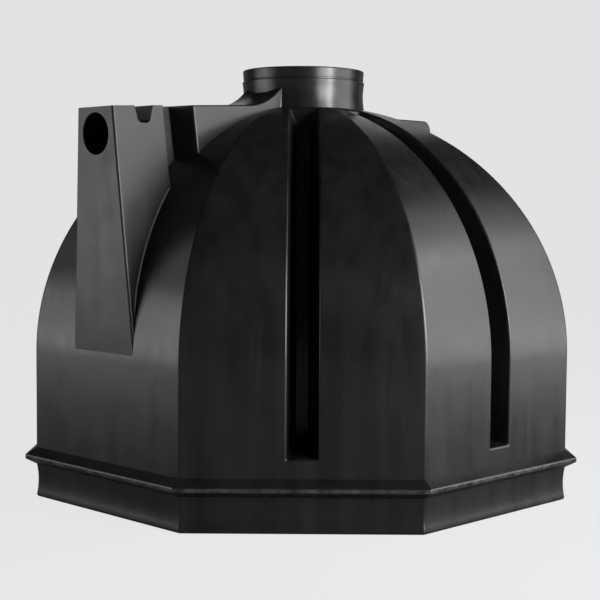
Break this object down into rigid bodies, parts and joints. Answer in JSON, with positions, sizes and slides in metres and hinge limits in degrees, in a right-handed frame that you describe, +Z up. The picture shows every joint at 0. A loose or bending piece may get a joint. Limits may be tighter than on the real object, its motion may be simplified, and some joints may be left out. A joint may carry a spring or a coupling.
{
  "type": "septic tank",
  "caption": "Domed octagonal plastic septic tank with deep vertical slots, a pipe tower on one face, a round neck and a lift-off lid.",
  "frame": {"origin": "centre of the octagonal footprint, on the surface the tank stands on", "axes": "+Z up; -Y is the front face; the pipe tower is on the face towards -X-Y and the outlet chamber on the face towards +X+Y"},
  "size_m": [1.56, 1.56, 1.2311],
  "materials": {
    "tank_plastic": "semi-gloss black moulded polyethylene",
    "lid_plastic": "semi-gloss black moulded polyethylene"
  },
  "bodies": {
    "tank": {"floor": "tank_plastic", "base_band": "tank_plastic", "flange": "tank_plastic", "neck": "tank_plastic", "wall_right": "tank_plastic", "wall_back_right": "tank_plastic", "wall_back": "tank_plastic", "wall_back_left": "tank_plastic", "wall_left": "tank_plastic", "wall_front_left": "tank_plastic", "wall_front": "tank_plastic", "wall_front_right": "tank_plastic", "dome_right": "tank_plastic", "dome_back_right": "tank_plastic", "dome_back": "tank_plastic", "dome_back_left": "tank_plastic", "dome_left": "tank_plastic", "dome_front_left": "tank_plastic", "dome_front": "tank_plastic", "dome_front_right": "tank_plastic", "slot_right": "tank_plastic", "slot_back": "tank_plastic", "slot_back_left": "tank_plastic", "slot_left": "tank_plastic", "slot_front": "tank_plastic", "slot_front_right": "tank_plastic", "inlet_outer_wall": "tank_plastic", "inlet_inner_wall": "tank_plastic", "inlet_left_cheek": "tank_plastic", "inlet_right_cheek": "tank_plastic", "inlet_grooved_top": "tank_plastic", "inlet_ridge": "tank_plastic", "inlet_ridge_nose": "tank_plastic", "inlet_web": "tank_plastic", "outlet_end_wall": "tank_plastic", "outlet_cap": "tank_plastic"},
    "lid": {"lid": "lid_plastic"}
  },
  "joints": [
    {"name": "lid_lift", "type": "slide", "parent": "tank", "child": "lid", "axis": [0, 0, 1], "range_m": [0, 0.3]}
  ]
}
